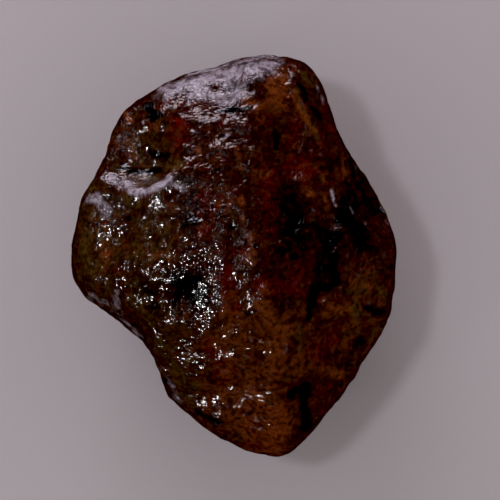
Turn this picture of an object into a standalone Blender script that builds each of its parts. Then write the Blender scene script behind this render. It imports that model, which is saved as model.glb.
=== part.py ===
"""A raw amber nugget, one solid piece of fossil resin.

The nugget is a lump bounded by broad worn facets.  Seen from above it fills a
rounded, slightly notched outline; it rests on a small flat worn underneath.
Millimetres are used for every size below and turned into metres by MM.
"""

import math

import bmesh
import bpy
import numpy as np
from mathutils import Vector, noise
from mathutils.bvhtree import BVHTree

MM = 0.001

# ---------------------------------------------------------------- driving dimensions (mm, degrees)
HEART = (0.0, 0.0, 8.0)            # a point inside the lump, from which facets and outline are measured
GRID_CUTS = 27                     # cuts across each side of the starting cube
EDGE_SHARPNESS = 13                # how crisp the edges between facets are: higher is crisper
RIM_SHARPNESS = 36                 # the same for the rim, where the facets meet the outline's wall
HEADING_STEPS = 60                 # directions round the lump at which its reach is fitted to the outline
PLUMB_HEIGHT = 60.0                # where plumb lines start, well above the lump
FOOT_SNAP = 0.12                   # points this near the foot plane are laid on it

# Outline seen from above, anticlockwise from the right-hand side.
OUTLINE = (
    (13.8, -0.7), (13.5, 1.9), (12.6, 4.3), (11.6, 6.5), (10.2, 8.6), (9.2, 10.3), (8.1, 12.8),
    (7.4, 14.6), (5.9, 16.5), (3.8, 17.3), (1.6, 17.3), (-0.4, 16.6), (-2.9, 16.0), (-5.2, 15.4),
    (-7.6, 13.9), (-9.6, 12.2), (-10.3, 10.4), (-11.2, 8.0), (-12.4, 5.7), (-13.4, 3.0), (-13.8, -0.2),
    (-13.4, -2.4), (-12.2, -3.6), (-10.0, -5.2), (-7.7, -7.2), (-6.6, -8.8), (-6.4, -10.2),
    (-5.2, -12.1), (-3.3, -13.7), (-1.4, -14.9), (1.2, -16.3), (3.4, -17.0), (4.8, -16.7),
    (6.3, -14.9), (9.0, -11.6), (11.1, -8.2), (12.8, -5.3), (13.6, -2.9),
)

# Each facet: heading of its outward normal in plan, tilt from straight up, and a point that it passes through.
TOP_FACETS = {
    "crown": (178, 8, (-2.0, -1.0, 18.0)),
    "north_slope": (104, 21, (-2.0, 5.6, 17.3)),
    "north_face": (58, 19, (3.0, 6.0, 16.9)),
    "north_bevel": (107, 46, (0.0, 12.5, 15.0)),
    "north_lip": (107, 67, (0.0, 14.9, 12.8)),
    "northwest_slope": (145, 37, (-7.6, 8.0, 14.0)),
    "west_face": (188, 24, (-6.5, -0.5, 16.2)),
    "west_edge": (172, 39, (-11.5, 1.5, 12.0)),
    "southwest_bevel": (222, 62, (-9.4, -4.7, 12.2)),
    "southwest_face": (238, 30, (-3.0, -8.5, 14.6)),
    "south_tip": (262, 36, (2.0, -14.0, 10.6)),
    "southeast_face": (-31, 35, (6.8, -6.4, 14.0)),
    "east_face": (18, 37, (9.2, 3.0, 13.8)),
}
# The same for the underside, with the tilt measured from straight down.
UNDER_FACETS = {
    "foot": (30, 2, (0.0, 0.0, -0.3)),
    "north_under": (98, 48, (0.0, 11.2, 1.9)),
    "east_under": (15, 54, (9.9, 3.0, 2.5)),
    "southeast_under": (-42, 53, (7.6, -7.2, 2.2)),
    "south_under": (-108, 42, (0.5, -11.6, 1.8)),
    "southwest_under": (222, 50, (-7.0, -5.1, 2.2)),
    "west_under": (168, 54, (-10.0, 3.2, 2.5)),
}

# Rounded marks, found by dropping a plumb line at (x, y): (x, y, radius, rise); a negative rise is a hollow.
MARKS = {
    "northwest_hollow": (-8.0, 8.5, 3.8, -1.6),
    "northwest_hollow_deep": (-7.0, 7.7, 2.1, -0.6),
    "northwest_hollow_upper": (-8.2, 11.4, 2.0, -0.5),
    "crater": (-3.2, -3.1, 2.4, -0.6),
    "crater_rim_north": (-3.8, 0.2, 2.0, 0.35),
    "crater_rim_east": (-0.7, -3.4, 1.9, 0.35),
    "crater_lower": (-4.4, -6.7, 2.0, -0.5),
    "saucer": (-2.2, 3.6, 2.6, -0.5),
    "east_pit_high": (4.6, 3.4, 2.1, -0.35),
    "east_pit_low": (6.6, -3.5, 2.1, -0.35),
    "east_scoop": (10.3, 4.3, 2.4, -0.6),
    "east_scoop_low": (10.0, 2.0, 2.0, -0.5),
    "north_scoop": (4.5, 8.6, 3.2, -0.5),
    "southeast_scoop": (8.3, -7.4, 2.6, -0.6),
    "southeast_swell": (10.4, -4.2, 2.4, 0.45),
    "southeast_swell_low": (6.9, -10.0, 1.8, 0.35),
    "south_dimple": (-0.4, -10.6, 2.1, -0.45),
    "south_knob": (-2.6, -12.2, 1.7, 0.35),
    "notch": (-7.3, -9.6, 2.3, -0.55),
    "west_lump_high": (-11.6, 4.3, 2.2, 0.55),
    "west_lump_low": (-11.9, -0.9, 2.3, 0.45),
    "west_hollow": (-9.2, 1.6, 2.1, -0.5),
    "west_knob": (-7.4, 3.4, 1.6, 0.45),
    "southwest_knob": (-7.6, -3.6, 1.9, 0.4),
    "bevel_lump_east": (1.2, 14.6, 1.7, 0.4),
    "bevel_lump_middle": (-2.2, 14.0, 1.8, 0.4),
    "bevel_dip": (-0.6, 13.0, 1.4, -0.4),
    "bevel_lump_west": (-5.6, 12.8, 1.7, 0.4),
    "south_swell": (1.6, -7.4, 2.8, 0.4),
}

# Ridges, ledges and clefts: the points that each one runs through in plan, its half width and its rise.
RIDGES = {
    "hollow_ledge": (((-11.2, 6.2), (-8.6, 5.3), (-6.2, 5.7), (-3.6, 7.1)), 1.5, 0.6),
    "east_ridge": (((5.0, 14.8), (6.8, 11.4), (8.0, 7.4), (8.8, 2.8)), 1.5, 0.4),
    "east_ridge_outer": (((9.3, 8.6), (10.6, 5.8), (11.5, 2.6)), 1.1, 0.25),
    "south_spine": (((2.6, -3.6), (3.7, -8.0), (3.9, -13.6)), 2.3, 0.7),
    "north_shoulder": (((4.2, 15.8), (2.2, 14.2), (0.2, 12.4), (-3.8, 11.2)), 1.3, 0.25),
    "north_shoulder_west": (((-3.8, 10.7), (-6.4, 11.6), (-8.6, 13.0)), 1.2, 0.3),
    "east_cleft_high": (((4.0, 4.6), (4.9, 2.8), (5.9, 1.2)), 1.4, -0.4),
    "east_cleft": (((7.3, 2.6), (7.8, -0.6), (8.2, -2.2), (6.5, -3.5), (6.0, -5.0)), 1.4, -0.45),
    "south_cleft": (((5.3, -9.6), (5.7, -12.2), (5.9, -14.0)), 1.3, -0.4),
    "middle_crease": (((0.4, 9.0), (0.9, 5.0), (0.2, 1.4)), 1.3, -0.3),
}

# Worn lumps all over: (size of a lump, rise), from broad to small.
LUMPS = ((6.5, 0.55), (3.0, 0.34), (1.7, 0.17))

RESIN_COLOUR = (0.20, 0.035, 0.008, 1.0)
RESIN_ROUGHNESS = 0.2
RESIN_CLEARNESS = 0.85
RESIN_IOR = 1.54


def metres(point):
    """A point given in millimetres, as a vector in metres."""
    return Vector(point) * MM


def facet_plane(heading, tilt, through, up):
    """The unit outward normal of a facet and its distance from the heart; up is 1 on top and -1 underneath."""
    turn = math.radians(heading)
    lean = math.radians(tilt)
    normal = Vector((math.cos(turn) * math.sin(lean), math.sin(turn) * math.sin(lean), up * math.cos(lean)))
    return normal, normal.dot(metres(through) - metres(HEART))


def facet_planes():
    """Every facet of the lump as (unit normal, distance from the heart)."""
    top = [facet_plane(*facet, up=1) for facet in TOP_FACETS.values()]
    under = [facet_plane(*facet, up=-1) for facet in UNDER_FACETS.values()]
    return top + under


def outline_reach():
    """A function from a heading in radians to the outline's distance from the heart, smooth all the way round."""
    headings = np.array([math.atan2(y, x) % math.tau for x, y in OUTLINE])
    order = np.argsort(headings)
    headings = headings[order]
    reaches = np.array([math.hypot(x, y) for x, y in OUTLINE])[order] * MM
    count = len(headings)
    ahead = np.roll(headings, -1)
    ahead[-1] += math.tau
    behind = np.roll(headings, 1)
    behind[0] -= math.tau
    slopes = (np.roll(reaches, -1) - np.roll(reaches, 1)) / (ahead - behind)

    def reach(heading):
        """Cubic Hermite curve between the two outline points on either side of the heading."""
        after = int(np.searchsorted(headings, heading % math.tau)) % count
        before = (after - 1) % count
        span = (headings[after] - headings[before]) % math.tau
        t = ((heading - headings[before]) % math.tau) / span
        return (
            (2 * t**3 - 3 * t**2 + 1) * reaches[before]
            + (t**3 - 2 * t**2 + t) * span * slopes[before]
            + (3 * t**2 - 2 * t**3) * reaches[after]
            + (t**3 - t**2) * span * slopes[after]
        )

    return reach


def ball_from_cube():
    """A cube with its sides cut into a grid and blown up to a unit ball, which has no poles."""
    ball = bmesh.new()
    bmesh.ops.create_cube(ball, size=2.0)
    bmesh.ops.subdivide_edges(ball, edges=ball.edges[:], cuts=GRID_CUTS, use_grid_fill=True)
    for vert in ball.verts:
        vert.co = Vector([math.tan(value * math.pi / 4) for value in vert.co]).normalized()
    return ball


def rounded_most(values, sharpness):
    """The largest of some values, rounded off where two of them are close."""
    return sum(value**sharpness for value in values) ** (1 / sharpness)


def facet_the_ball(ball):
    """Moves each point of the ball out to the rounded meeting of the facets and the outline's wall."""
    planes = facet_planes()
    reach = outline_reach()
    for vert in ball.verts:
        way = vert.co.copy()
        facets = rounded_most(
            [max(0.0, normal.dot(way)) / distance for normal, distance in planes], EDGE_SHARPNESS
        )
        wall = math.hypot(way.x, way.y) / reach(math.atan2(way.y, way.x))
        vert.co = metres(HEART) + way / rounded_most([facets, wall], RIM_SHARPNESS)


def soft_bump(distance, radius):
    """1 in the middle of a mark, falling smoothly to 0 at its radius."""
    if distance >= radius:
        return 0.0
    return (1 - (distance / radius) ** 2) ** 2


def dropped(tree, x, y):
    """The point on the lump's upper side straight below (x, y), or on its wall where that is off the lump."""
    above = metres((x, y, PLUMB_HEIGHT))
    found = tree.ray_cast(above, Vector((0, 0, -1)))[0]
    return found or tree.find_nearest(metres((x, y, HEART[2])))[0]


def nearest_on_path(point, path):
    """Distance from a point to a path of straight stretches."""
    best = math.inf
    for start, end in zip(path, path[1:]):
        run = end - start
        share = min(1.0, max(0.0, (point - start).dot(run) / run.length_squared))
        best = min(best, (point - start - run * share).length)
    return best


def rise_at(point, marks, ridges):
    """How far the surface moves outwards at a point, for all the marks, ridges and lumps together."""
    rise = sum(height * soft_bump((point - centre).length, radius) for centre, radius, height in marks)
    rise += sum(height * soft_bump(nearest_on_path(point, path), width) for path, width, height in ridges)
    for size, height in LUMPS:
        rise += height * MM * noise.noise(point / (size * MM))
    return rise


def sculpt(ball):
    """Wears the hollows, ledges, ridges and lumps into the faceted lump, along its own surface normals."""
    ball.normal_update()
    tree = BVHTree.FromBMesh(ball)
    marks = [(dropped(tree, x, y), radius * MM, rise * MM) for x, y, radius, rise in MARKS.values()]
    ridges = [
        ([dropped(tree, x, y) for x, y in path], width * MM, rise * MM)
        for path, width, rise in RIDGES.values()
    ]
    moves = [(vert, vert.normal * rise_at(vert.co, marks, ridges)) for vert in ball.verts]
    for vert, move in moves:
        vert.co += move


def fit_outline(ball):
    """Scales the lump in plan, heading by heading, so that seen from above it just fills its outline."""
    target = outline_reach()
    step = math.tau / HEADING_STEPS
    furthest = [0.0] * HEADING_STEPS
    for vert in ball.verts:
        heading = math.atan2(vert.co.y, vert.co.x) % math.tau
        share = math.hypot(vert.co.x, vert.co.y) / target(heading)
        slot = int(heading / step)
        furthest[slot] = max(furthest[slot], share)
    middles = [(slot + 0.5) * step for slot in range(HEADING_STEPS)]
    for vert in ball.verts:
        heading = math.atan2(vert.co.y, vert.co.x) % math.tau
        share = float(np.interp(heading, middles, furthest, period=math.tau))
        vert.co.x /= share
        vert.co.y /= share


def lay_foot(ball):
    """Cuts the underside off flat at the table, as a nugget worn flat where it lies."""
    for vert in ball.verts:
        if abs(vert.co.z) < FOOT_SNAP * MM:
            vert.co.z = 0.0
    everything = ball.verts[:] + ball.edges[:] + ball.faces[:]
    bmesh.ops.bisect_plane(
        ball, geom=everything, dist=1e-7, plane_co=(0, 0, 0), plane_no=(0, 0, -1), clear_outer=True
    )
    rim = [edge for edge in ball.edges if edge.is_boundary]
    bmesh.ops.holes_fill(ball, edges=rim)
    bmesh.ops.recalc_face_normals(ball, faces=ball.faces[:])


def centre_on_origin(ball):
    """Slides the lump so that its box is centred over the origin."""
    for axis in range(2):
        values = [vert.co[axis] for vert in ball.verts]
        shift = (min(values) + max(values)) / 2
        for vert in ball.verts:
            vert.co[axis] -= shift


def resin_material():
    """Dark red-brown amber, glossy and partly clear."""
    material = bpy.data.materials.new("amber")
    material.use_nodes = True
    shader = material.node_tree.nodes["Principled BSDF"]
    shader.inputs["Base Color"].default_value = RESIN_COLOUR
    shader.inputs["Roughness"].default_value = RESIN_ROUGHNESS
    shader.inputs["Metallic"].default_value = 0.0
    shader.inputs["Transmission Weight"].default_value = RESIN_CLEARNESS
    shader.inputs["IOR"].default_value = RESIN_IOR
    return material


def make_nugget():
    """The whole nugget as one closed mesh object."""
    ball = ball_from_cube()
    facet_the_ball(ball)
    sculpt(ball)
    fit_outline(ball)
    lay_foot(ball)
    centre_on_origin(ball)
    mesh = bpy.data.meshes.new("amber_nugget")
    ball.to_mesh(mesh)
    ball.free()
    mesh.shade_smooth()
    mesh.materials.append(resin_material())
    nugget = bpy.data.objects.new("amber_nugget", mesh)
    bpy.context.scene.collection.objects.link(nugget)
    return nugget


def main():
    for obj in list(bpy.data.objects):
        bpy.data.objects.remove(obj)
    make_nugget()


main()
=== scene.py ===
"""Raw amber: the worn skin of a nugget of fossil resin, the resin itself, and the stage that it lies on."""

import math

import bmesh
import bpy
import numpy as np
from bpy.props import FloatProperty, FloatVectorProperty, IntProperty, PointerProperty
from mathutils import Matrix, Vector, noise


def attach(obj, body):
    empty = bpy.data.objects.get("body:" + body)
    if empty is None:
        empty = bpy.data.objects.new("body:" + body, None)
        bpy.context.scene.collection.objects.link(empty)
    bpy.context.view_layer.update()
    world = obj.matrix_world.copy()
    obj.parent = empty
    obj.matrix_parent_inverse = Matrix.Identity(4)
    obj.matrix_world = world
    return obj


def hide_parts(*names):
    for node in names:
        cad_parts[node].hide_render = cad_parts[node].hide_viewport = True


bl_info = {
    "name": "Raw Amber",
    "version": (1, 0, 0),
    "blender": (4, 5, 0),
    "location": "3D View > Sidebar > Raw Amber",
    "description": "Wears a fine skin onto a lump of amber, gives it its resin and sets its stage",
    "category": "Object",
}

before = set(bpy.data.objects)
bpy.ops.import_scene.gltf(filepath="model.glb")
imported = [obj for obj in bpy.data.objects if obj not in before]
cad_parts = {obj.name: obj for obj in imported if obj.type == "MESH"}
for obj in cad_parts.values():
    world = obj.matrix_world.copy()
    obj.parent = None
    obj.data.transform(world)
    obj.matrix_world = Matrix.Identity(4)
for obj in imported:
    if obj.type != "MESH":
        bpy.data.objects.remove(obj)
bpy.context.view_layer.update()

MM = 0.001
NODE = "amber_nugget"
BODY = "root"

# ------------------------------------------------------------------ the skin
WELD = 0.002 * MM
JOIN_ANGLE = math.radians(40)
FLAT_FOOT = 0.02 * MM         # points lower than this lie on the table
FOOT_FADE = 1.2 * MM          # height over which the relief fades in above the table

# Painted strokes: each is a path of points in plan (mm), a half width (mm) and a strength.
GRAIN_STROKES = (
    (((-4.9, 0.2), (-3.4, 0.9), (-1.6, 0.7)), 1.4, 1.0),
    (((-5.0, -1.0), (-3.0, -0.7), (-1.2, -1.0)), 1.1, 1.0),
    (((-1.1, -1.4), (-0.8, -3.8)), 0.9, 1.0),
    (((-4.4, -3.3), (-4.0, -4.6), (-2.8, -5.0), (-1.5, -5.6)), 0.9, 1.0),
    (((-3.2, -5.8), (-3.9, -7.9)), 0.9, 1.4),
    (((-1.7, -6.8),), 0.6, 0.7),
    (((-6.2, -5.4), (-5.9, -7.0), (-5.6, -9.2)), 0.8, 1.4),
    (((-3.6, -11.6),), 0.7, 0.9),
    (((-1.7, -12.6), (-0.2, -12.4)), 0.9, 1.0),
    (((-0.4, -10.4),), 0.6, 0.7),
    (((1.0, -11.4),), 0.7, 0.9),
    (((-8.1, 1.1),), 0.6, 0.8),
    (((-10.2, 0.4),), 0.6, 0.7),
    (((-10.9, -0.9),), 0.6, 0.8),
    (((-9.0, -0.4), (-8.2, -1.1)), 1.0, 1.0),
    (((-9.0, -3.6),), 0.5, 0.8),
    (((-8.5, 3.6),), 0.6, 0.8),
    (((-5.8, 3.7),), 0.6, 0.8),
    (((-3.6, 4.8), (-2.9, 4.2)), 0.8, 1.0),
    (((-1.9, 3.5), (-1.5, 2.9)), 0.7, 0.9),
    (((-2.1, 9.1),), 0.4, 0.6),
)
# Black strokes: partly real crust, partly painted shade in the hollows, the clefts and the crater, where the
# surface lies in shade.
CRUST_AND_SHADE_STROKES = (
    (((4.6, 4.0), (5.2, 1.0)), 3.4, 0.62),
    (((9.6, 4.4), (10.4, 1.8)), 3.2, 0.62),
    (((7.4, 3.0), (7.4, -1.5)), 3.0, 0.52),
    (((5.1, 3.2), (5.2, 1.6)), 1.1, 1.0),
    (((3.9, 4.2), (4.4, 3.2)), 0.8, 0.6),
    (((8.9, 3.4), (10.4, 1.8)), 1.7, 1.0),
    (((7.2, 2.0), (8.6, 1.6)), 0.9, 0.9),
    (((7.8, 1.0), (8.3, -1.8)), 0.8, 1.0),
    (((8.6, -2.0), (6.6, -2.7), (6.3, -3.6)), 0.7, 1.0),
    (((6.1, -3.9), (6.1, -5.1)), 0.4, 0.9),
    (((4.8, -11.4), (5.6, -10.4)), 0.8, 0.9),
    (((5.8, -10.6), (6.0, -14.2)), 0.8, 1.0),
    (((0.0, 2.4),), 0.7, 0.9),
    (((-1.2, 7.0),), 0.7, 0.8),
    (((1.3, 14.0),), 0.6, 0.9),
    (((-1.2, 11.9), (1.4, 12.1)), 0.4, 0.9),
    (((-7.0, 12.4), (-6.5, 11.5)), 0.9, 1.0),
    (((-4.0, 11.6),), 0.4, 0.6),
    (((-8.9, 7.3), (-7.6, 7.0), (-6.2, 7.0)), 0.5, 1.0),
    (((-6.9, 8.7), (-5.4, 8.2)), 0.6, 0.9),
    (((-8.6, 3.1),), 0.5, 0.9),
    (((-3.6, 3.4),), 0.9, 0.5),
    (((-4.4, -2.0), (-2.8, -3.2)), 2.7, 0.8),
    (((-3.6, 6.0), (-3.4, 2.6)), 1.9, 0.5),
    (((-3.7, 13.6),), 0.8, 0.6),
    (((-0.7, 13.9), (0.4, 13.9)), 0.5, 0.9),
    (((-7.0, -2.6), (-6.2, -3.6)), 1.6, 0.55),
    (((9.6, 7.6), (11.4, 4.2)), 2.2, 0.55),
    (((1.2, -4.4),), 0.9, 0.6),
    (((-5.8, -10.4),), 0.5, 1.0),
    (((-8.0, -5.6),), 0.6, 0.6),
    (((3.4, 10.2), (3.4, 9.0)), 0.35, 0.9),
    (((5.6, 8.8),), 0.5, 0.7),
    (((6.4, 12.2), (7.2, 11.6)), 0.6, 0.8),
    (((5.3, 14.2), (5.9, 13.0)), 0.5, 0.7),
    (((10.0, 8.4),), 0.6, 0.7),
    (((10.6, 6.4), (11.3, 5.4)), 0.6, 0.6),
    (((11.2, -4.0), (12.0, -4.4)), 0.8, 0.7),
    (((9.9, -7.4), (10.6, -7.0)), 0.8, 0.7),
    (((9.4, -8.8),), 0.5, 0.6),
    (((8.0, 9.0), (8.0, 7.2)), 0.4, 0.5),
    (((2.2, -5.4),), 0.35, 0.7),
    (((1.6, -6.8),), 0.5, 0.6),
    (((1.2, -12.9),), 0.6, 0.6),
    (((-3.0, -13.0), (-1.0, -13.9)), 0.8, 0.6),
    (((12.9, -0.8),), 0.8, 0.6),
)
OCHRE_STROKES = (
    (((0.5, -6.4), (0.5, -9.0), (1.0, -13.0)), 6.5, 0.55),
    (((-6.8, 10.8),), 1.2, 0.7),
    (((5.0, -6.0), (4.0, -11.0)), 5.0, 0.42),
    (((10.5, -3.0), (9.0, -7.0)), 4.0, 0.32),
    (((2.4, -4.0), (3.6, -5.6), (3.4, -7.6)), 1.4, 1.0),
    (((3.0, -8.4), (3.0, -10.4)), 1.5, 0.8),
    (((1.4, -11.0), (3.6, -13.0), (3.2, -16.0)), 1.9, 0.85),
    (((3.6, 14.6), (3.4, 12.6)), 1.5, 0.9),
    (((1.0, 12.9), (2.4, 11.6)), 0.9, 0.7),
    (((4.8, 13.4), (5.6, 12.0), (6.6, 10.4)), 0.6, 0.9),
    (((7.2, 6.9), (7.6, 6.2)), 0.3, 0.8),
    (((7.4, 5.0), (7.8, 3.4)), 0.5, 0.8),
    (((8.9, 8.0), (9.3, 6.2)), 0.5, 0.7),
    (((0.7, 4.9), (0.8, 2.9)), 0.4, 0.8),
    (((0.2, 8.3), (0.4, 7.4)), 0.7, 0.6),
    (((1.3, 6.6), (2.8, 6.8)), 0.5, 0.6),
    (((5.6, 5.2), (6.6, 5.0)), 0.5, 0.7),
    (((-10.7, 1.6), (-10.5, -0.2)), 0.8, 1.0),
    (((-9.0, 11.9), (-8.5, 11.3)), 0.5, 1.0),
    (((-8.4, 8.8), (-7.8, 7.8)), 0.8, 0.8),
    (((-2.8, 8.6),), 0.6, 0.7),
    (((-11.2, 5.8),), 0.5, 0.6),
    (((7.6, -4.4), (9.6, -4.2)), 1.0, 0.9),
    (((9.8, -2.2), (11.6, -2.6)), 1.1, 0.7),
    (((7.4, -9.4), (8.8, -9.6)), 0.7, 0.8),
    (((9.1, -5.9),), 0.5, 0.7),
    (((1.4, 1.4), (1.6, -0.4)), 0.8, 0.5),
    (((-5.4, 0.0), (-7.6, 0.6)), 1.0, 0.35),
)
RUBY_STROKES = (
    (((-0.4, -1.4), (-0.2, -3.8)), 1.5, 0.9),
    (((4.9, 7.4), (5.8, 6.9)), 1.3, 1.0),
    (((2.0, -2.2), (5.2, -2.4)), 1.3, 1.0),
    (((5.6, 1.0), (6.0, -1.4)), 1.2, 0.7),
    (((3.0, 6.0), (3.4, 3.4)), 1.6, 0.6),
    (((-4.4, 10.8), (-4.4, 9.4)), 1.3, 0.8),
    (((-5.2, -2.4), (-2.4, -2.8)), 1.5, 0.6),
    (((-1.4, -7.4), (-0.6, -9.4)), 1.6, 0.8),
    (((7.0, -3.6),), 0.7, 0.9),
    (((5.2, 10.6), (4.4, 9.4)), 1.2, 0.6),
    (((8.0, -6.4), (6.8, -8.0)), 1.4, 0.6),
    (((3.2, 2.2),), 0.8, 0.6),
    (((8.0, 10.6),), 0.8, 0.8),
    (((-2.6, 4.6), (-2.2, 2.2)), 1.5, 0.5),
    (((-10.4, 2.8),), 0.6, 0.9),
    (((-11.2, -2.7),), 0.5, 0.8),
    (((7.2, -12.9),), 0.6, 0.5),
)
OLIVE_STROKES = (
    (((-11.5, 4.0), (-11.5, -2.0)), 5.0, 0.55),
    (((-7.5, 9.5), (-7.0, 3.0), (-7.0, -3.0)), 4.5, 0.50),
    (((-6.0, -5.0), (-4.5, -9.5)), 3.0, 0.50),
    (((11.0, -2.0), (10.5, -4.5)), 3.0, 0.40),
    (((-12.2, 2.2), (-12.4, -1.2)), 1.4, 0.9),
    (((-6.2, 7.4), (-4.4, 7.4)), 1.1, 0.9),
    (((-5.6, 8.6),), 0.8, 0.6),
    (((-7.2, 6.5), (-6.2, 6.4)), 0.35, 1.0),
    (((-8.2, -3.4), (-7.2, -4.6)), 1.1, 0.9),
    (((-6.2, -1.8), (-7.4, -0.4)), 1.2, 0.5),
    (((-9.4, 4.6), (-7.4, 4.4)), 1.1, 0.7),
    (((-5.7, 2.8), (-5.6, 1.8)), 0.6, 0.7),
    (((-3.3, -10.6),), 0.9, 0.9),
    (((-4.6, -11.4), (-3.2, -12.6)), 0.9, 0.6),
    (((5.4, -5.6), (5.4, -7.6)), 0.5, 0.8),
    (((4.4, -9.2), (4.6, -10.0)), 0.6, 0.6),
    (((9.9, -4.2), (10.2, -5.2)), 0.6, 0.9),
    (((12.0, -2.8), (12.6, -3.4)), 0.6, 0.7),
    (((11.8, -5.6), (11.4, -6.8)), 0.5, 0.7),
    (((10.0, -8.8), (9.0, -10.6)), 0.5, 0.6),
    (((6.6, -13.4),), 0.4, 0.7),
    (((0.4, -14.2),), 0.6, 0.6),
    (((4.9, 13.8), (6.2, 11.4), (7.0, 9.4)), 0.5, 0.7),
    (((9.0, 7.4),), 0.5, 0.7),
    (((11.6, 4.7),), 0.4, 0.8),
    (((5.8, 15.2), (6.6, 14.4)), 0.6, 0.5),
    (((-4.6, -4.2), (-5.2, -5.0)), 0.8, 0.5),
)
# Pale film strokes: partly a frosted film, partly painted sheen and painted highlights, the reflections of
# the window and floor on the north bevel, the ledge, a lump of the west lobe and the rims.
FROST_AND_SHEEN_STROKES = (
    (((-0.4, 15.0), (1.4, 15.4), (2.8, 15.8)), 2.3, 1.0),
    (((-3.0, 15.7), (0.0, 16.8), (2.4, 17.0)), 1.7, 1.0),
    (((-5.6, 13.9), (-3.2, 14.6), (-0.6, 15.2), (1.6, 15.6), (2.9, 16.0)), 1.6, 1.0),
    (((-3.4, 13.4), (-1.6, 13.2), (-0.2, 12.9), (0.4, 13.4)), 1.1, 1.0),
    (((-6.4, 13.2),), 0.9, 0.6),
    (((-9.9, 6.5), (-9.0, 6.2)), 0.7, 0.9),
    (((-8.6, 5.6), (-7.4, 5.4), (-6.2, 5.5), (-5.2, 6.2)), 0.8, 1.0),
    (((-5.0, 5.9), (-3.9, 5.4)), 0.5, 0.6),
    (((-11.4, 4.8), (-10.5, 3.8)), 1.2, 1.0),
    (((-7.5, 11.1),), 0.4, 0.8),
    (((-6.7, 7.6),), 0.35, 0.9),
    (((-0.5, 9.8),), 0.4, 0.7),
    (((-1.2, 11.2),), 0.5, 0.5),
    (((-9.4, 10.2), (-10.4, 8.0)), 0.6, 0.35),
    (((-12.2, -3.4), (-10.2, -4.2)), 0.9, 0.5),
    (((-9.6, -3.0), (-9.9, -4.6)), 1.0, 0.6),
    (((-10.4, -4.8), (-8.6, -6.0), (-7.2, -7.8), (-6.6, -9.4)), 0.7, 0.7),
    (((-5.4, -9.9), (-4.9, -12.2)), 0.6, 0.5),
    (((-3.8, -12.6), (-2.2, -13.9)), 0.6, 0.4),
    (((8.0, 5.6), (8.3, 4.2)), 0.35, 0.8),
    (((7.0, 9.6), (7.1, 8.2)), 0.4, 0.5),
    (((12.2, 4.0), (13.0, 2.2)), 0.5, 0.6),
    (((6.8, 14.2), (7.4, 12.8)), 0.5, 0.5),
    (((9.7, 4.0), (10.8, 2.7)), 0.3, 0.6),
)
PITTED_STROKES = (
    (((-9.5, 2.5), (-8.0, -2.5)), 5.0, 1.0),
    (((-5.5, 2.0), (-4.0, -3.0), (-3.5, -8.0), (-1.5, -12.0)), 5.5, 1.0),
    (((-8.0, 8.0), (-4.0, 10.0), (0.5, 11.0)), 4.4, 0.8),
    (((-1.0, 5.0),), 4.0, 0.7),
    (((0.5, 2.0), (1.2, -2.5)), 2.8, 0.8),
)
FACET_STROKES = (
    (((-4.1, 0.9), (-1.9, 0.7)), 1.5, 1.0),
    (((-5.8, -0.5), (-3.4, -0.1), (-1.6, -0.3)), 1.3, 0.8),
    (((-5.2, -4.9), (-2.4, -5.2)), 0.9, 0.5),
    (((-8.6, -1.6), (-6.4, -3.6)), 2.3, 1.6),
    (((1.9, -5.4), (2.2, -8.2)), 1.6, 1.6),
)
PAINTS = {
    "grain": GRAIN_STROKES,
    "crust_and_shade": CRUST_AND_SHADE_STROKES,
    "ochre": OCHRE_STROKES,
    "ruby": RUBY_STROKES,
    "olive": OLIVE_STROKES,
    "frost_and_sheen": FROST_AND_SHEEN_STROKES,
    "pitted": PITTED_STROKES,
    "facet": FACET_STROKES,
}
STROKE_WANDER = 0.32          # mm that the edge of a stroke wanders
STROKE_WANDER_SIZE = 1.6      # mm from one bend of that edge to the next
WANDER_SEED = 7               # without a seed those bends would be others on every run
PAINT_FROM = -0.12            # how far up a face looks where it begins to take paint
PAINT_FADE = 0.50             # and over how much more the paint fades in
SHORTEST = 1e-9               # keeps a path of one point from dividing by nothing

# Relief that is worn into the skin. A pair of shares is what plain skin has and what full paint adds.
WAVES = (1.0, 2.0, 4)         # how fast small waves fade, their step in size, and how many sizes there are
GRANULE_SHARES = (0.12, 0.6)
GRANULE_MIDDLE = 0.5          # the height on a pimple that lies level with the skin
PIMPLE_STEEPNESS = 1.6
CUP_SHARES = (0.45, 0.55)
CUP_WIDTH = 0.6               # radius of a cup, as a share of the cups' size
PIT_SHARES = (0.5, 0.7)
PIT_WIDTHS = (0.16, 0.16)     # least radius of a pit and what chance adds, as shares of the pits' size
PIT_WIDTH_SEED, PIT_GAP_SEED = 7.3, 3.1
PIT_GAPS = 0.35               # share of the places that have no pit
PIT_ROUNDNESS = 1.5
CRACK_SHARES = (0.3, 1.0)
CRACK_SIZE = 2.6 * MM         # from one bend of a crack to the next
CRACK_WIDTH = 0.05            # the noise at a crack's edge; it is 0 along its middle

# Mottling of the resin: its size (mm), how far its paint leads it, the level at which it shows, the softness
# of its edge, and how far (mm) its pattern is moved, so that no two of them run alike.
MOTTLES = {
    "ruby": (1.6, 0.42, 0.66, 0.20, 0),
    "ochre": (1.2, 0.40, 0.68, 0.20, 31),
    "olive": (0.9, 0.36, 0.70, 0.20, 57),
    # The black mask below is crust and painted shade; the pale one after it is frost and painted sheen.
    "crust_and_shade": (0.8, 0.50, 0.72, 0.18, 83),
    "frost_and_sheen": (1.1, 0.44, 0.80, 0.18, 109),
    "pale flecks": (0.36, 0.0, 0.57, 0.10, 137),
    "dark flecks": (0.40, 0.0, 0.52, 0.09, 163),
}
PATCH_CLOUD = {"Detail": 5.0, "Roughness": 0.62, "Distortion": 0.5}
OLIVE_SHARE, PALE_SHARE, DARK_SHARE, SPECK_SHARE = 0.8, 0.30, 0.85, 0.9
DARK_FLECK = (0.26, 0.20, 0.24, 1.0)
FILM_AND_SHEEN_SHARE = 0.95             # how much of the resin's colour the pale film of frost and painted sheen hides
FILM_AND_SHEEN_FLECKS = 0.6             # how much of that film of frost and painted sheen the dark flecks take away
RESIN_ROUGHNESS = 0.15
FROST_AND_SHEEN_ROUGHNESS = 0.16        # added under the pale film of frost and painted sheen
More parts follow.
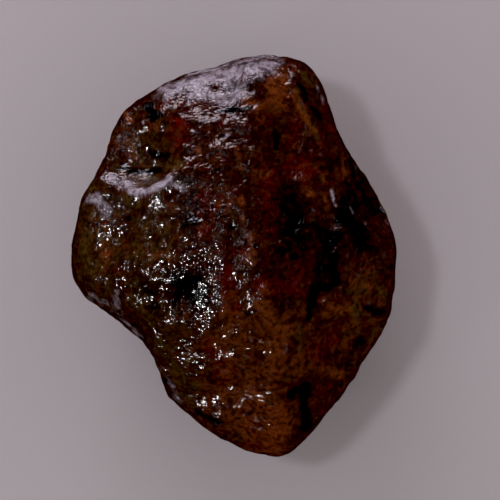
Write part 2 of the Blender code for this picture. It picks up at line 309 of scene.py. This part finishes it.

# Grain too fine for the skin's faces, as bump: sizes in mm, and shares of the bump's depth.
BUMP_DEPTH = 0.12 * MM
SPECK_SIZE = 0.24
SPECK_RANGE = (0.60, 0.72)    # the cloud's values where specks begin and are full
COARSE_SIZE, FINE_SIZE = 0.36, 0.15
GRIT_SHARE, FINE_SHARE = 0.30, 0.35
GRIT_CLOUD = {"Detail": 3.0, "Roughness": 0.6}
GRIT_PITS = -0.7              # how the grit's cells count against its cloud
BEAD_SIZE, LARGE_BEAD_SIZE = 0.28, 0.42
BEAD_PLAIN, BEAD_PAINTED, LARGE_BEAD_SHARE = 0.13, 0.16, 0.6
BEAD_FROST_AND_SHEEN = 0.6              # how far the pale film of frost and painted sheen counts as grain
BEAD_SCATTER = 0.75
BEAD_FALL = 2.5               # how steeply a bead falls off from its top
FACET_SIZE = 0.26
FACET_LEAN = (0.52, 0.66, 0.0)    # how fast a facet rises along each axis, before its own lean is added
FACET_OWN_LEAN = (1.1, 1.1, 1.1)

# ------------------------------------------------------------------ the stage
FLOOR_SIZE = 1.2
FLOOR_DROP = 0.02 * MM
FLOOR_ROUGHNESS = 0.9
FLOOR_DRIFT = 1.05            # how much paler the floor's tone drifts
FLOOR_CLOUD = {"Scale": 18.0, "Detail": 2.0}
CAMERA_HEIGHT = 0.158
CAMERA_ASIDE = (1.35 * MM, 0.59 * MM)
CAMERA_REACH = 0.150          # from the camera to the plane where the frame is measured
CAMERA_NEAR = 0.01
FRAME_WIDTH = 0.0422
SENSOR_WIDTH = 36.0
AIM = (0, 0, 8 * MM)          # what the lights look at
WINDOW_PLACE = (106, 11, 0.45)    # heading, elevation (degrees) and distance (m) from the nugget
WINDOW_SIZE = (0.28, 0.16)
WINDOW_TONE = (0.95, 0.88, 1.0)
LAMP_PLACE = (158, 67, 0.40)
LAMP_SIZE = (0.045, 0.045)
LAMP_TONE = (0.96, 1.0, 1.12)
SPARK_PLACE = (210, 32, 0.40)
SPARK_SIZE = (0.026, 0.026)
SKY_LOW, SKY_HIGH = 0.35, 0.85    # between these heights the sky fades to its overhead share
VIEW_GAMMA = 0.85             # below 1, so that dark tones are shown darker
BLACK_LEVEL = 0.006           # the tone that is shown as black


class NuggetSettings(bpy.types.PropertyGroup):
    """Sizes and colours of the nugget."""

    skin_detail: FloatProperty(
        name="Skin detail", description="Size of the faces of the skin",
        default=0.175 * MM, min=0.1 * MM, unit="LENGTH",
    )
    smoothing: IntProperty(
        name="Smoothing", description="Levels of subdivision before the skin is worn",
        default=2, min=0, max=3,
    )
    wear: FloatProperty(
        name="Wear", description="Height of the broad worn waves", default=0.16 * MM, unit="LENGTH",
    )
    wear_size: FloatProperty(
        name="Wear size", description="Size of the broad worn waves", default=3.4 * MM, unit="LENGTH",
    )
    granule: FloatProperty(
        name="Granules", description="Height of the grainy pimples", default=0.10 * MM, unit="LENGTH",
    )
    granule_size: FloatProperty(
        name="Granule size", description="Distance from one pimple to the next",
        default=0.90 * MM, unit="LENGTH",
    )
    pit: FloatProperty(
        name="Pits", description="Depth of the round pits", default=0.20 * MM, unit="LENGTH",
    )
    pit_size: FloatProperty(
        name="Pit size", description="Distance from one pit to the next", default=2.1 * MM, unit="LENGTH",
    )
    cup: FloatProperty(
        name="Cups", description="Depth of the close-set shallow cups", default=0.19 * MM, unit="LENGTH",
    )
    cup_size: FloatProperty(
        name="Cup size", description="Distance from one cup to the next",
        default=0.90 * MM, unit="LENGTH",
    )
    crack: FloatProperty(
        name="Cracks", description="Depth of the fine cracks", default=0.12 * MM, unit="LENGTH",
    )
    clearness: FloatProperty(
        name="Clearness", description="Share of light that goes into the resin",
        default=0.64, min=0, max=1, subtype="FACTOR",
    )
    bending: FloatProperty(
        name="Index of refraction", description="How far the resin bends light", default=1.54, min=1,
    )
    depth_tone: FloatVectorProperty(
        name="Depth colour", description="Colour that light keeps as it crosses the resin",
        default=(0.86, 0.34, 0.03), size=3, min=0, max=1, subtype="COLOR",
    )
    depth_density: FloatProperty(
        name="Depth density", description="How fast the resin darkens light, per metre",
        default=480.0, min=0,
    )
    resin_tone: FloatVectorProperty(
        name="Resin", description="Colour of the dark clear resin",
        default=(0.096, 0.0146, 0.007), size=3, min=0, max=1, subtype="COLOR",
    )
    ruby_tone: FloatVectorProperty(
        name="Ruby", description="Colour of the reddest windows",
        default=(0.26, 0.0103, 0.0052), size=3, min=0, max=1, subtype="COLOR",
    )
    ochre_tone: FloatVectorProperty(
        name="Ochre", description="Colour of the cloudy orange-brown resin",
        default=(0.46, 0.125, 0.031), size=3, min=0, max=1, subtype="COLOR",
    )
    olive_tone: FloatVectorProperty(
        name="Olive", description="Colour of the olive film",
        default=(0.245, 0.145, 0.037), size=3, min=0, max=1, subtype="COLOR",
    )
    # Black colour: partly crust, partly painted shade.
    crust_and_shade_tone: FloatVectorProperty(
        name="Crust and shade", description="Colour of the black crust",
        default=(0.004, 0.003, 0.003), size=3, min=0, max=1, subtype="COLOR",
    )
    # Colour of the pale film: partly frost, partly painted sheen and highlights.
    frost_and_sheen_tone: FloatVectorProperty(
        name="Frost and sheen", description="Colour of the pale frosted film",
        default=(1.0, 0.88, 1.0), size=3, min=0, max=1, subtype="COLOR",
    )


class StageSettings(bpy.types.PropertyGroup):
    """Colours and lights of the stage."""

    floor_tone: FloatVectorProperty(
        name="Floor", description="Colour of the floor",
        default=(0.503, 0.463, 0.460), size=3, min=0, max=1, subtype="COLOR",
    )
    sky_tone: FloatVectorProperty(
        name="Sky", description="Colour of the light from all round",
        default=(0.80, 0.755, 0.785), size=3, min=0, max=1, subtype="COLOR",
    )
    sky_power: FloatProperty(
        name="Sky power", description="Strength of the light from all round", default=1.42, min=0,
    )
    overhead: FloatProperty(
        name="Overhead", description="Share of that light that comes from straight above",
        default=0.22, min=0, max=1, subtype="FACTOR",
    )
    window_power: FloatProperty(
        name="Window power", description="Power of the large soft light", default=1.25, unit="POWER",
    )
    lamp_power: FloatProperty(
        name="Lamp power", description="Power of the small light that makes the shadow",
        default=0.29, unit="POWER",
    )
    spark_power: FloatProperty(
        name="Spark power", description="Power of the small light that makes the glints",
        default=1.25, unit="POWER",
    )


# ------------------------------------------------------------------ building the skin
def points_of(mesh, field="co"):
    """The mesh's points or their normals, as rows of three numbers."""
    values = np.empty(len(mesh.vertices) * 3, np.float32)
    source = mesh.vertices if field == "co" else mesh.vertex_normals
    source.foreach_get("co" if field == "co" else "vector", values)
    return values.reshape(-1, 3).astype(np.float64)


def fine_skin(settings):
    """A copy of the solid's surface, smoothed and cut into small even faces."""
    shell = bmesh.new()
    shell.from_mesh(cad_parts[NODE].data)
    bmesh.ops.remove_doubles(shell, verts=shell.verts[:], dist=WELD)
    bmesh.ops.join_triangles(
        shell, faces=shell.faces[:], angle_face_threshold=JOIN_ANGLE, angle_shape_threshold=JOIN_ANGLE
    )
    mesh = bpy.data.meshes.new("nugget_skin")
    shell.to_mesh(mesh)
    shell.free()
    skin = bpy.data.objects.new("nugget_skin", mesh)
    bpy.context.scene.collection.objects.link(skin)
    smooth = skin.modifiers.new("smooth", "SUBSURF")
    smooth.levels = smooth.render_levels = settings.smoothing
    even = skin.modifiers.new("even", "REMESH")
    even.mode = "VOXEL"
    even.voxel_size = settings.skin_detail
    evaluated = skin.evaluated_get(bpy.context.evaluated_depsgraph_get())
    finished = bpy.data.meshes.new_from_object(evaluated)
    skin.modifiers.clear()
    skin.data = finished
    bpy.data.meshes.remove(mesh)
    return skin


def distance_to(path, places):
    """Distance in plan from every place to a path of straight stretches, or to its one point."""
    nearest = np.full(len(places), np.inf)
    for start, end in zip(path, path[1:] or path):
        start, run = np.array(start), np.subtract(end, start)
        share = np.clip((places - start) @ run / max(run @ run, SHORTEST), 0, 1)
        nearest = np.minimum(nearest, np.linalg.norm(places - start - share[:, None] * run, axis=1))
    return nearest


def painted(strokes, places, upward):
    """How strongly each place is painted by the strokes, faded by how far up it looks."""
    paint = np.zeros(len(places))
    for path, width, strength in strokes:
        share = np.clip(1 - distance_to(path, places) / width, 0, 1)
        paint = np.maximum(paint, strength * share * share * (3 - 2 * share))
    return paint * upward


def wander(point, size):
    """A smooth random push in plan at a point, up to about 1 each way."""
    push = noise.noise_vector(point / size)
    return push.x, push.y


def paint_skin(points, normals):
    """The paints on the skin, by name."""
    noise.seed_set(WANDER_SEED)
    wandering = np.array([wander(Vector(point), STROKE_WANDER_SIZE * MM) for point in points])
    places = points[:, :2] / MM + STROKE_WANDER * wandering
    upward = np.clip((normals[:, 2] - PAINT_FROM) / PAINT_FADE, 0, 1)
    return {name: painted(strokes, places, upward) for name, strokes in PAINTS.items()}


def pimples(point, size):
    """Close-set rounded pimples, from 0 between them to 1 on top."""
    near = noise.voronoi(point / size)[0]
    return min(1.0, PIMPLE_STEEPNESS * (near[1] - near[0]))


def pits(point, size):
    """Scattered round pits, -1 at the bottom of one and 0 away from them."""
    near, centres = noise.voronoi(point / size)
    centre = Vector(centres[0])
    width = PIT_WIDTHS[0] + PIT_WIDTHS[1] * noise.cell(centre * PIT_WIDTH_SEED)
    if noise.cell(centre * PIT_GAP_SEED) < PIT_GAPS or near[0] > width:
        return 0.0
    return -(1 - (near[0] / width) ** 2) ** PIT_ROUNDNESS


def cracks(point, size):
    """Fine wandering cracks, -1 in the middle of one."""
    line = abs(noise.noise(point / size)) / CRACK_WIDTH
    return -max(0.0, 1 - line)


def cups(point, size):
    """Close-set shallow cups, -1 at the bottom of each and 0 on the rims between them."""
    near = noise.voronoi(point / size)[0]
    return -max(0.0, 1 - (near[0] / CUP_WIDTH) ** 2)


def led(shares, paint):
    """How much of one relief a point has: what plain skin has, and what paint adds."""
    plain_share, added = shares
    return plain_share + added * paint


def relief(point, grain, crust_and_shade, pitted, settings):
    """How far the skin rises at a point."""
    rise = settings.wear * noise.fractal(point / settings.wear_size, *WAVES)
    pimple = pimples(point, settings.granule_size) - GRANULE_MIDDLE
    rise += settings.granule * led(GRANULE_SHARES, grain) * pimple
    rise += settings.cup * led(CUP_SHARES, pitted) * cups(point, settings.cup_size)
    rise += settings.pit * led(PIT_SHARES, grain) * pits(point, settings.pit_size)
    rise += settings.crack * led(CRACK_SHARES, crust_and_shade) * cracks(point, CRACK_SIZE)
    return rise


def wear_skin(skin, settings):
    """Wears the fine relief into the skin and keeps the paints as attributes of its points."""
    mesh = skin.data
    points, normals = points_of(mesh), points_of(mesh, "normal")
    paints = paint_skin(points, normals)
    leads = zip(paints["grain"], paints["crust_and_shade"], paints["pitted"])
    rises = np.array([relief(Vector(point), *lead, settings) for point, lead in zip(points, leads)])
    rises *= np.clip((points[:, 2] - FLAT_FOOT) / FOOT_FADE, 0, 1)
    points += normals * rises[:, None]
    points[:, 2] = np.maximum(points[:, 2], 0.0)
    mesh.vertices.foreach_set("co", points.astype(np.float32).ravel())
    mesh.update()
    for name, paint in paints.items():
        layer = mesh.attributes.new(name, "FLOAT", "POINT")
        layer.data.foreach_set("value", paint.astype(np.float32))
    mesh.shade_smooth()


# ------------------------------------------------------------------ materials
def add(tree, kind, inputs=None, **settings):
    """A new node with these settings, and its inputs set to values or linked from sockets."""
    made = tree.nodes.new(kind)
    for name, value in settings.items():
        setattr(made, name, value)
    for name, value in (inputs or {}).items():
        if isinstance(value, bpy.types.NodeSocket):
            tree.links.new(value, made.inputs[name])
        else:
            made.inputs[name].default_value = value
    return made


def maths(tree, operation, first, second=0.0, clamp=False):
    """The result of one sum on two values or sockets."""
    made = add(tree, "ShaderNodeMath", {0: first, 1: second}, operation=operation, use_clamp=clamp)
    return made.outputs[0]


def mixed(tree, share, low, high, way="MIX"):
    """A mix of two colours by a share."""
    made = tree.nodes.new("ShaderNodeMix")
    made.data_type = "RGBA"
    made.blend_type = way
    sockets = {socket.identifier: socket for socket in made.inputs}
    for name, value in (("Factor_Float", share), ("A_Color", low), ("B_Color", high)):
        if isinstance(value, bpy.types.NodeSocket):
            tree.links.new(value, sockets[name])
        else:
            sockets[name].default_value = value
    return next(socket for socket in made.outputs if socket.identifier == "Result_Color")


def rgba(tone):
    """A colour property as four numbers."""
    return (*tone, 1.0)


def new_group(name, inputs, outputs):
    """An empty shader group with its sockets; each input is (name, type, default)."""
    group = bpy.data.node_groups.new(name, "ShaderNodeTree")
    for label, kind, default in inputs:
        socket = group.interface.new_socket(label, in_out="INPUT", socket_type=kind)
        if default is not None:
            socket.default_value = default
    for label, kind in outputs:
        group.interface.new_socket(label, in_out="OUTPUT", socket_type=kind)
    return group, group.nodes.new("NodeGroupInput").outputs, group.nodes.new("NodeGroupOutput").inputs


def patches_group():
    """Ragged patches of wear, mottling, painted shade and painted sheen: noise, led by a painted lean, cut at
    a level with a soft edge.
    """
    group, given, result = new_group(
        "worn patches and painted light",
        (
            ("Vector", "NodeSocketVector", None),
            ("Size", "NodeSocketFloat", 0.002),
            ("Shift", "NodeSocketFloat", 0.0),
            ("Lean", "NodeSocketFloat", 0.0),
            ("Level", "NodeSocketFloat", 0.5),
            ("Softness", "NodeSocketFloat", 0.08),
        ),
        (("Mask", "NodeSocketFloat"),),
    )
    scale = maths(group, "DIVIDE", 1.0, given["Size"])
    moved = add(group, "ShaderNodeVectorMath", {0: given["Vector"], 1: given["Shift"]}, operation="ADD")
    cloud = add(
        group, "ShaderNodeTexNoise", {"Vector": moved.outputs[0], "Scale": scale, **PATCH_CLOUD},
    )
    leant = maths(group, "ADD", cloud.outputs["Fac"], given["Lean"])
    low = maths(group, "SUBTRACT", given["Level"], given["Softness"])
    high = maths(group, "ADD", given["Level"], given["Softness"])
    cut = add(
        group, "ShaderNodeMapRange", {"Value": leant, "From Min": low, "From Max": high},
        interpolation_type="SMOOTHSTEP",
    )
    group.links.new(cut.outputs["Result"], result["Mask"])
    return group


def grit_group():
    """Fine grain: small pits and specks at one size, as a height and as a mask of specks."""
    group, given, result = new_group(
        "fine grain",
        (("Vector", "NodeSocketVector", None), ("Size", "NodeSocketFloat", 0.0004)),
        (("Height", "NodeSocketFloat"), ("Specks", "NodeSocketFloat")),
    )
    scale = maths(group, "DIVIDE", 1.0, given["Size"])
    cells = add(
        group, "ShaderNodeTexVoronoi", {"Vector": given["Vector"], "Scale": scale}, feature="SMOOTH_F1",
    )
    cloud = add(
        group, "ShaderNodeTexNoise", {"Vector": given["Vector"], "Scale": scale, **GRIT_CLOUD},
    )
    pitting = maths(group, "MULTIPLY", cells.outputs["Distance"], GRIT_PITS)
    group.links.new(maths(group, "ADD", pitting, cloud.outputs["Fac"]), result["Height"])
    begin, full = SPECK_RANGE
    speck = add(
        group, "ShaderNodeMapRange", {"Value": cloud.outputs["Fac"], "From Min": begin, "From Max": full},
    )
    group.links.new(speck.outputs["Result"], result["Specks"])
    return group


def bead_group():
    """Round beads, close-set: 1 on the top of each, and falling off to the creases between them."""
    group, given, result = new_group(
        "round beads",
        (("Vector", "NodeSocketVector", None), ("Size", "NodeSocketFloat", 0.0003)),
        (("Height", "NodeSocketFloat"),),
    )
    scale = maths(group, "DIVIDE", 1.0, given["Size"])
    cells = add(
        group, "ShaderNodeTexVoronoi",
        {"Vector": given["Vector"], "Scale": scale, "Randomness": BEAD_SCATTER}, feature="F1",
    )
    squared = maths(group, "MULTIPLY", cells.outputs["Distance"], cells.outputs["Distance"])
    dome = maths(group, "SUBTRACT", 1.0, maths(group, "MULTIPLY", squared, BEAD_FALL))
    group.links.new(dome, result["Height"])
    return group


def facet_group():
    """Small flat facets: each rises along one shared lean and a little way of its own."""
    group, given, result = new_group(
        "small facets",
        (
            ("Vector", "NodeSocketVector", None),
            ("Size", "NodeSocketFloat", 0.0003),
            ("Lean", "NodeSocketVector", None),
        ),
        (("Height", "NodeSocketFloat"),),
    )
    scale = maths(group, "DIVIDE", 1.0, given["Size"])
    cells = add(group, "ShaderNodeTexVoronoi", {"Vector": given["Vector"], "Scale": scale}, feature="F1")

    def vector(operation, *terms):
        """One sum on vectors."""
        return add(group, "ShaderNodeVectorMath", dict(enumerate(terms)), operation=operation).outputs

    away = vector("SUBTRACT", given["Vector"], cells.outputs["Position"])[0]
    turned = vector("SUBTRACT", cells.outputs["Color"], (0.5, 0.5, 0.5))[0]
    leaning = vector("MULTIPLY_ADD", turned, FACET_OWN_LEAN, given["Lean"])[0]
    rise = vector("DOT_PRODUCT", away, leaning)
    group.links.new(maths(group, "MULTIPLY", rise["Value"], scale), result["Height"])
    return group


def use_group(tree, group, **values):
    """A group placed in a material with its own values."""
    placed = tree.nodes.new("ShaderNodeGroup")
    placed.node_tree = group
    for name, value in values.items():
        socket = placed.inputs[name]
        if isinstance(value, bpy.types.NodeSocket):
            tree.links.new(value, socket)
        else:
            socket.default_value = value
    return placed.outputs


def paint_of(tree, name):
    """A paint of the skin, read in its material."""
    return add(tree, "ShaderNodeAttribute", attribute_name=name).outputs["Fac"]


def resin_colour(tree, where, patches, grit, settings):
    """The colour of the resin, mottled, black with crust and painted shade, pale with frost and painted
    sheen, and the mask of that pale film.
    """
    masks = {}
    for name, (size, lead, level, softness, shift) in MOTTLES.items():
        lean = maths(tree, "MULTIPLY", paint_of(tree, name), lead) if name in PAINTS else 0.0
        masks[name] = use_group(
            tree, patches, Vector=where, Size=size * MM, Shift=shift * MM, Lean=lean, Level=level,
            Softness=softness,
        )[0]
    specks = use_group(tree, grit, Vector=where, Size=SPECK_SIZE * MM)["Specks"]
    dark, frost_and_sheen = masks["dark flecks"], masks["frost_and_sheen"]

    def part(mask, share):
        """A share of a mask."""
        return maths(tree, "MULTIPLY", mask, share)

    colour = mixed(tree, masks["ruby"], rgba(settings.resin_tone), rgba(settings.ruby_tone))
    colour = mixed(tree, masks["ochre"], colour, rgba(settings.ochre_tone))
    colour = mixed(tree, part(masks["olive"], OLIVE_SHARE), colour, rgba(settings.olive_tone))
    colour = mixed(tree, part(masks["pale flecks"], PALE_SHARE), colour, rgba(settings.olive_tone))
    colour = mixed(tree, part(dark, DARK_SHARE), colour, DARK_FLECK, "MULTIPLY")
    # Black: crust, and painted shade in the hollows, the clefts and the crater.
    colour = mixed(tree, masks["crust_and_shade"], colour, rgba(settings.crust_and_shade_tone))
    # The pale film: frost, and painted sheen and highlights where the lights and floor would be reflected.
    film = part(frost_and_sheen, maths(tree, "SUBTRACT", FILM_AND_SHEEN_SHARE, part(dark, FILM_AND_SHEEN_FLECKS)))
    colour = mixed(tree, film, colour, rgba(settings.frost_and_sheen_tone))
    return mixed(tree, part(specks, SPECK_SHARE), colour, DARK_FLECK, "MULTIPLY"), frost_and_sheen


def resin_height(tree, where, grit, bead, facet):
    """The resin's finest grain: grit everywhere, beads where it is grainy or under the pale film of frost and
    painted sheen, and small facets.
    """

    def share_of(height, share):
        """A share of a height."""
        return maths(tree, "MULTIPLY", height, share)

    grain = paint_of(tree, "grain")
    coarse = use_group(tree, grit, Vector=where, Size=COARSE_SIZE * MM)["Height"]
    fine = use_group(tree, grit, Vector=where, Size=FINE_SIZE * MM)["Height"]
    height = share_of(maths(tree, "ADD", coarse, share_of(fine, FINE_SHARE)), GRIT_SHARE)

    beads = use_group(tree, bead, Vector=where, Size=BEAD_SIZE * MM)["Height"]
    beaded = maths(tree, "ADD", grain, share_of(paint_of(tree, "frost_and_sheen"), BEAD_FROST_AND_SHEEN), clamp=True)
    beaded = add(
        tree, "ShaderNodeMath", {0: beaded, 1: BEAD_PAINTED, 2: BEAD_PLAIN}, operation="MULTIPLY_ADD",
    ).outputs[0]
    height = maths(tree, "ADD", height, share_of(beads, beaded))

    large = use_group(tree, bead, Vector=where, Size=LARGE_BEAD_SIZE * MM)["Height"]
    heavy = share_of(maths(tree, "SUBTRACT", grain, 1.0, clamp=True), LARGE_BEAD_SHARE)
    height = maths(tree, "ADD", height, share_of(large, heavy))

    facets = use_group(tree, facet, Vector=where, Size=FACET_SIZE * MM, Lean=FACET_LEAN)["Height"]
    return maths(tree, "ADD", height, share_of(facets, paint_of(tree, "facet")))


def resin_material(settings):
    """Dark clear resin, mottled with ruby, ochre and olive, black in its crust and painted shade, and pale
    where frosted or painted with sheen.
    """
    material = bpy.data.materials.new("amber_resin")
    material.use_nodes = True
    tree = material.node_tree
    shader = tree.nodes["Principled BSDF"]
    where = add(tree, "ShaderNodeTexCoord").outputs["Object"]
    grit = grit_group()
    colour, frost_and_sheen = resin_colour(tree, where, patches_group(), grit, settings)
    tree.links.new(colour, shader.inputs["Base Color"])

    frosted = maths(tree, "MULTIPLY", frost_and_sheen, FROST_AND_SHEEN_ROUGHNESS)
    rough = maths(tree, "ADD", RESIN_ROUGHNESS, frosted, clamp=True)
    tree.links.new(rough, shader.inputs["Roughness"])

    height = resin_height(tree, where, grit, bead_group(), facet_group())
    bump = add(tree, "ShaderNodeBump", {"Strength": 1.0, "Distance": BUMP_DEPTH, "Height": height})
    tree.links.new(bump.outputs["Normal"], shader.inputs["Normal"])

    shader.inputs["Transmission Weight"].default_value = settings.clearness
    shader.inputs["IOR"].default_value = settings.bending
    depth = add(tree, "ShaderNodeVolumeAbsorption")
    depth.inputs["Color"].default_value = rgba(settings.depth_tone)
    depth.inputs["Density"].default_value = settings.depth_density
    tree.links.new(depth.outputs["Volume"], tree.nodes["Material Output"].inputs["Volume"])
    return material


def floor_material(settings):
    """Matt pale floor with the faintest drift in its tone."""
    material = bpy.data.materials.new("pale_floor")
    material.use_nodes = True
    tree = material.node_tree
    shader = tree.nodes["Principled BSDF"]
    where = add(tree, "ShaderNodeTexCoord").outputs["Object"]
    drift = add(tree, "ShaderNodeTexNoise", {"Vector": where, **FLOOR_CLOUD})
    tone = rgba(settings.floor_tone)
    paler = rgba([min(1.0, value * FLOOR_DRIFT) for value in settings.floor_tone])
    tree.links.new(mixed(tree, drift.outputs["Fac"], tone, paler), shader.inputs["Base Color"])
    shader.inputs["Roughness"].default_value = FLOOR_ROUGHNESS
    return material


# ------------------------------------------------------------------ the stage's parts
def toward(heading, elevation, distance):
    """The place at a heading (anticlockwise from +X), an elevation and a distance from the lights' aim."""
    turn, rise = math.radians(heading), math.radians(elevation)
    flat = math.cos(rise)
    way = Vector((math.cos(turn) * flat, math.sin(turn) * flat, math.sin(rise)))
    return Vector(AIM) + distance * way


def hang_light(name, place, size, power, tone=(1, 1, 1)):
    """A soft rectangular light, which looks at the nugget from a heading, an elevation and a distance."""
    light = bpy.data.lights.new(name, "AREA")
    light.shape = "RECTANGLE"
    light.size, light.size_y = size
    light.energy = power
    light.color = tone
    hung = bpy.data.objects.new(name, light)
    hung.location = toward(*place)
    hung.rotation_euler = (toward(*place) - Vector(AIM)).to_track_quat("Z", "Y").to_euler()
    bpy.context.scene.collection.objects.link(hung)
    return hung


def room(settings):
    """Soft light from all round, weaker from overhead."""
    world = bpy.data.worlds.new("room")
    world.use_nodes = True
    tree = world.node_tree
    sky = tree.nodes["Background"]
    sky.inputs["Color"].default_value = rgba(settings.sky_tone)
    way = add(tree, "ShaderNodeSeparateXYZ", {"Vector": add(tree, "ShaderNodeTexCoord").outputs["Generated"]})
    fade = add(
        tree, "ShaderNodeMapRange",
        {
            "Value": way.outputs["Z"], "From Min": SKY_LOW, "From Max": SKY_HIGH,
            "To Min": settings.sky_power, "To Max": settings.sky_power * settings.overhead,
        },
        interpolation_type="SMOOTHSTEP",
    )
    tree.links.new(fade.outputs["Result"], sky.inputs["Strength"])
    world.cycles_visibility.glossy = False
    return world


# ------------------------------------------------------------------ operators
class AMBER_OT_nugget(bpy.types.Operator):
    """Make the nugget's worn skin and its resin"""

    bl_idname = "amber.nugget"
    bl_label = "Nugget"

    def execute(self, context):
        settings = context.scene.amber_nugget
        skin = fine_skin(settings)
        wear_skin(skin, settings)
        skin.data.materials.clear()
        skin.data.materials.append(resin_material(settings))
        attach(skin, BODY)
        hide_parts(NODE)
        return {"FINISHED"}


class AMBER_OT_stage(bpy.types.Operator):
    """Make the pale floor, the soft lights and the camera"""

    bl_idname = "amber.stage"
    bl_label = "Stage"

    def execute(self, context):
        settings = context.scene.amber_stage
        bed = bmesh.new()
        bmesh.ops.create_grid(bed, x_segments=1, y_segments=1, size=FLOOR_SIZE / 2)
        bmesh.ops.translate(bed, verts=bed.verts[:], vec=(0, 0, -FLOOR_DROP))
        mesh = bpy.data.meshes.new("floor")
        bed.to_mesh(mesh)
        bed.free()
        mesh.materials.append(floor_material(settings))
        floor = bpy.data.objects.new("floor", mesh)
        context.scene.collection.objects.link(floor)
        floor.visible_glossy = False

        hang_light("window", WINDOW_PLACE, WINDOW_SIZE, settings.window_power, WINDOW_TONE)
        lamp = hang_light("lamp", LAMP_PLACE, LAMP_SIZE, settings.lamp_power, LAMP_TONE)
        lamp.visible_glossy = False
        spark = hang_light("spark", SPARK_PLACE, SPARK_SIZE, settings.spark_power)
        spark.visible_diffuse = False
        context.scene.world = room(settings)

        view = bpy.data.cameras.new("camera")
        view.sensor_width = SENSOR_WIDTH
        view.lens = SENSOR_WIDTH * CAMERA_REACH / FRAME_WIDTH
        view.clip_start = CAMERA_NEAR
        camera = bpy.data.objects.new("camera", view)
        camera.location = (*CAMERA_ASIDE, CAMERA_HEIGHT)
        context.scene.collection.objects.link(camera)
        context.scene.camera = camera
        context.scene.view_settings.view_transform = "Standard"
        context.scene.view_settings.gamma = VIEW_GAMMA
        context.scene.view_settings.use_curve_mapping = True
        context.scene.view_settings.curve_mapping.black_level = [BLACK_LEVEL] * 3
        return {"FINISHED"}


class AMBER_PT_panel(bpy.types.Panel):
    """Raw amber's pieces"""

    bl_idname = "AMBER_PT_panel"
    bl_label = "Raw Amber"
    bl_space_type = "VIEW_3D"
    bl_region_type = "UI"
    bl_category = "Raw Amber"

    def draw(self, context):
        for settings, operator in (("amber_nugget", AMBER_OT_nugget), ("amber_stage", AMBER_OT_stage)):
            box = self.layout.box()
            group = getattr(context.scene, settings)
            for name in group.__annotations__:
                box.prop(group, name)
            box.operator(operator.bl_idname)


CLASSES = (NuggetSettings, StageSettings, AMBER_OT_nugget, AMBER_OT_stage, AMBER_PT_panel)


def register():
    for kind in CLASSES:
        bpy.utils.register_class(kind)
    bpy.types.Scene.amber_nugget = PointerProperty(type=NuggetSettings)
    bpy.types.Scene.amber_stage = PointerProperty(type=StageSettings)


def unregister():
    del bpy.types.Scene.amber_stage
    del bpy.types.Scene.amber_nugget
    for kind in reversed(CLASSES):
        bpy.utils.unregister_class(kind)


def main():
    register()
    bpy.ops.amber.nugget()
    bpy.ops.amber.stage()


if __name__ == "__main__":
    main()
